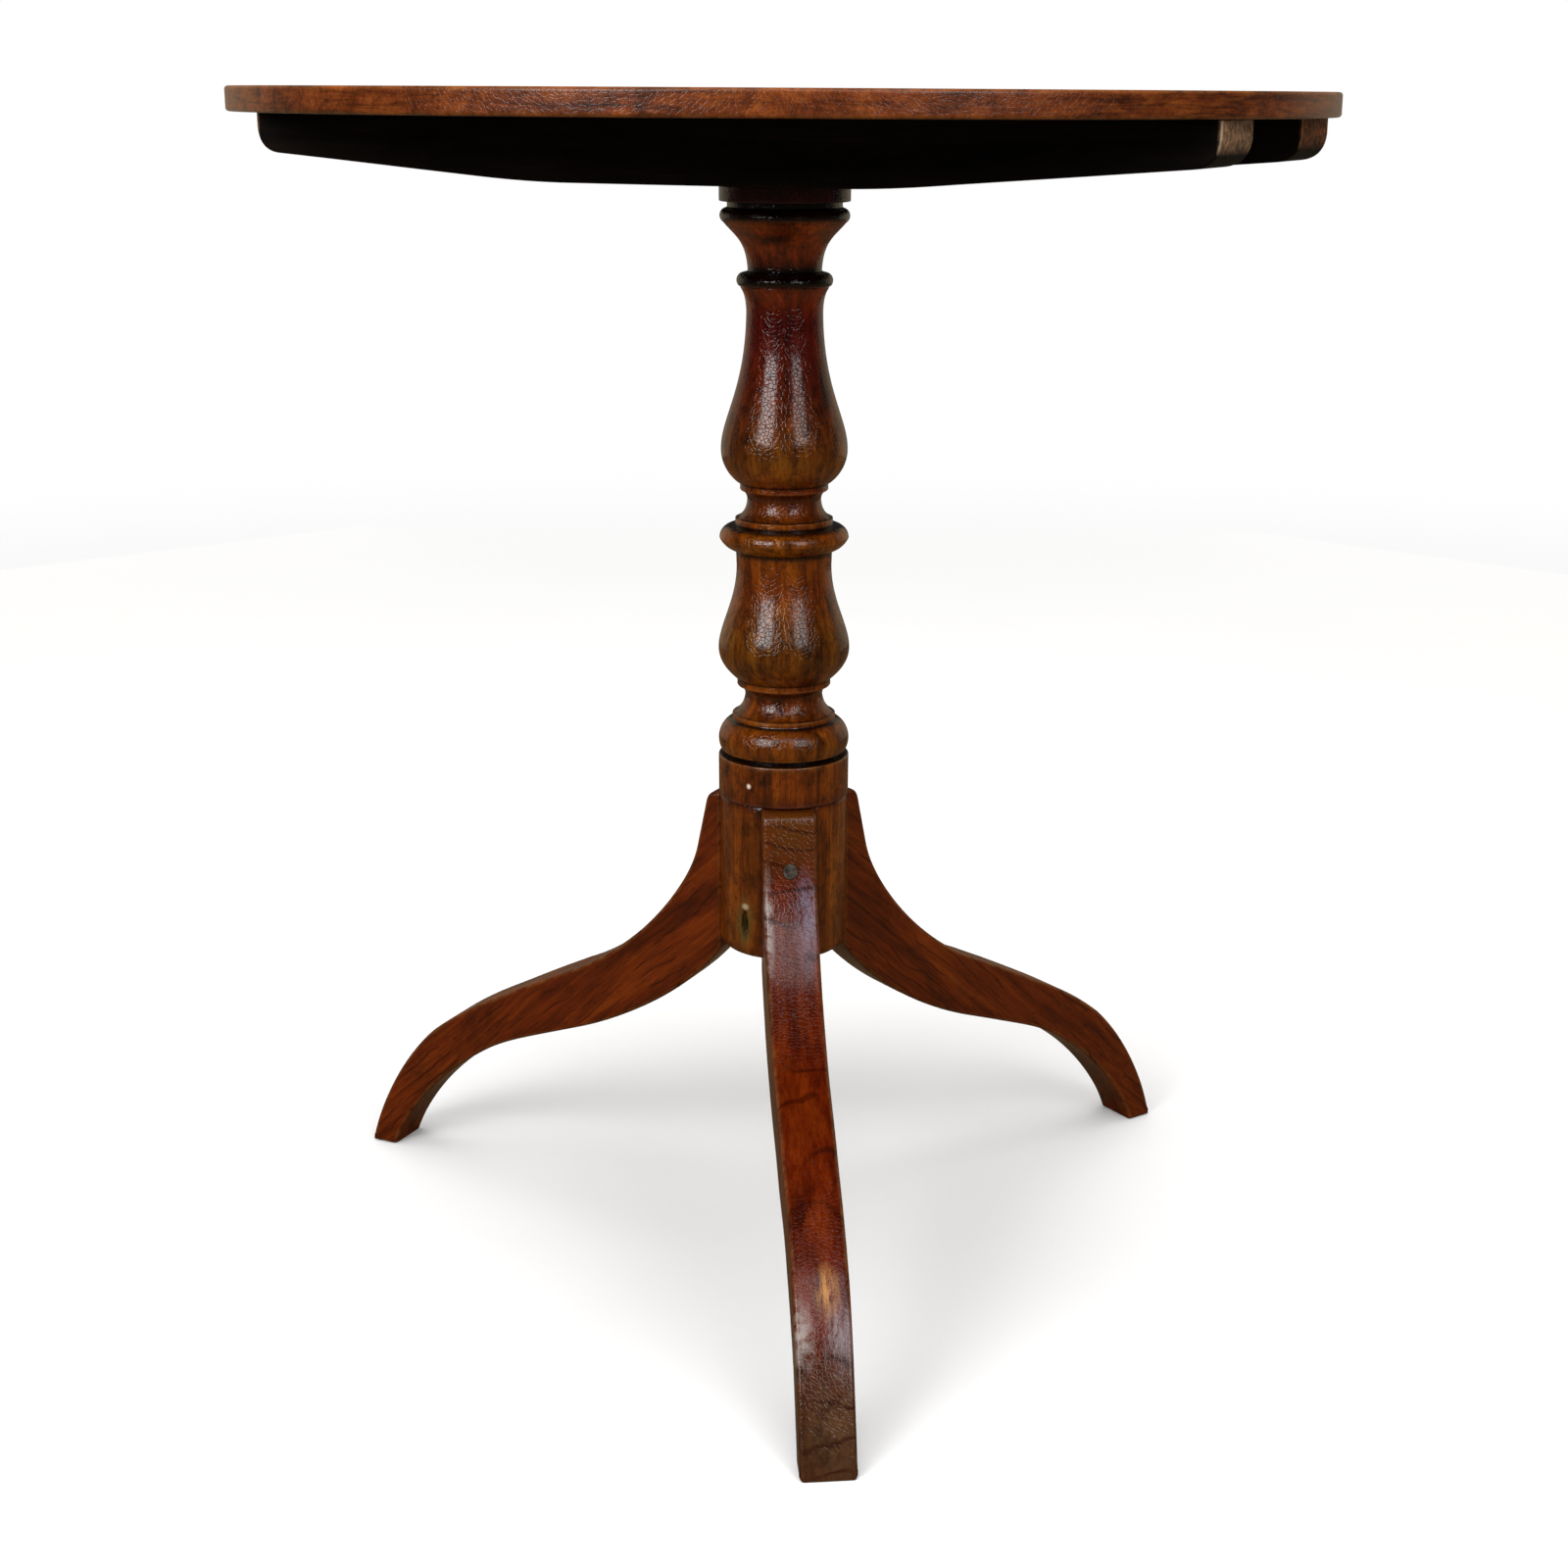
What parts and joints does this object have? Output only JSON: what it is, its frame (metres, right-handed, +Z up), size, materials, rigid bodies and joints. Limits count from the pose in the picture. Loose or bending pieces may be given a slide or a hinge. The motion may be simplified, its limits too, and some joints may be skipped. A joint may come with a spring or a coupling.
{
  "type": "tilt top table",
  "caption": "Round tilt-top table on a turned column and three swept legs, with twin bearers, a hinged block and a sliding brass catch.",
  "frame": {"origin": "on the floor, under the column's axis, at the middle of the round top", "axes": "+Z up along the column; the bearers run along X and the top's hinge lies along Y, on the +X side of the column; leg 1 points along -X and the others are 120 degrees apart"},
  "size_m": [0.634, 0.634, 0.72],
  "materials": {
    "top_mahogany": "polished",
    "column_mahogany": "polished",
    "leg_mahogany": "polished",
    "carcase_mahogany": "satin",
    "wedge_wood": "matte",
    "plug_filler": "dull",
    "brass": "aged",
    "steel": "dull"
  },
  "bodies": {
    "base": {"column": "column_mahogany", "block": "carcase_mahogany", "tenon_wedge_1": "wedge_wood", "tenon_wedge_2": "wedge_wood", "pivot_pin_front": "carcase_mahogany", "pivot_pin_back": "carcase_mahogany", "strike_plate": "brass", "strike_screw_1": "brass", "strike_screw_2": "brass", "leg_1": "leg_mahogany", "leg_screw_1": "steel", "leg_plug_1": "plug_filler", "leg_2": "leg_mahogany", "leg_screw_2": "steel", "leg_plug_2": "plug_filler", "leg_3": "leg_mahogany", "leg_screw_3": "steel", "leg_plug_3": "plug_filler"},
    "top": {"table_top": "top_mahogany", "bearer_front": "carcase_mahogany", "bearer_back": "carcase_mahogany", "bearer_screw_1": "steel", "bearer_screw_2": "steel", "bearer_screw_3": "steel", "bearer_screw_4": "steel", "bearer_screw_5": "steel", "bearer_screw_6": "steel", "bearer_screw_7": "steel", "bearer_screw_8": "steel", "catch_case": "brass", "catch_screw_1": "brass", "catch_screw_2": "brass", "catch_screw_3": "brass", "catch_screw_4": "brass"},
    "bolt": {"catch_bolt": "brass", "catch_knob": "brass"}
  },
  "joints": [
    {"name": "top_tilt", "type": "hinge", "parent": "base", "child": "top", "pos_m": [0.04075, 0, 0.68665], "axis": [0, 1, 0], "range_deg": [0, 90]},
    {"name": "bolt_slide", "type": "slide", "parent": "top", "child": "bolt", "axis": [1, 0, 0], "range_m": [0, 0.01]}
  ]
}
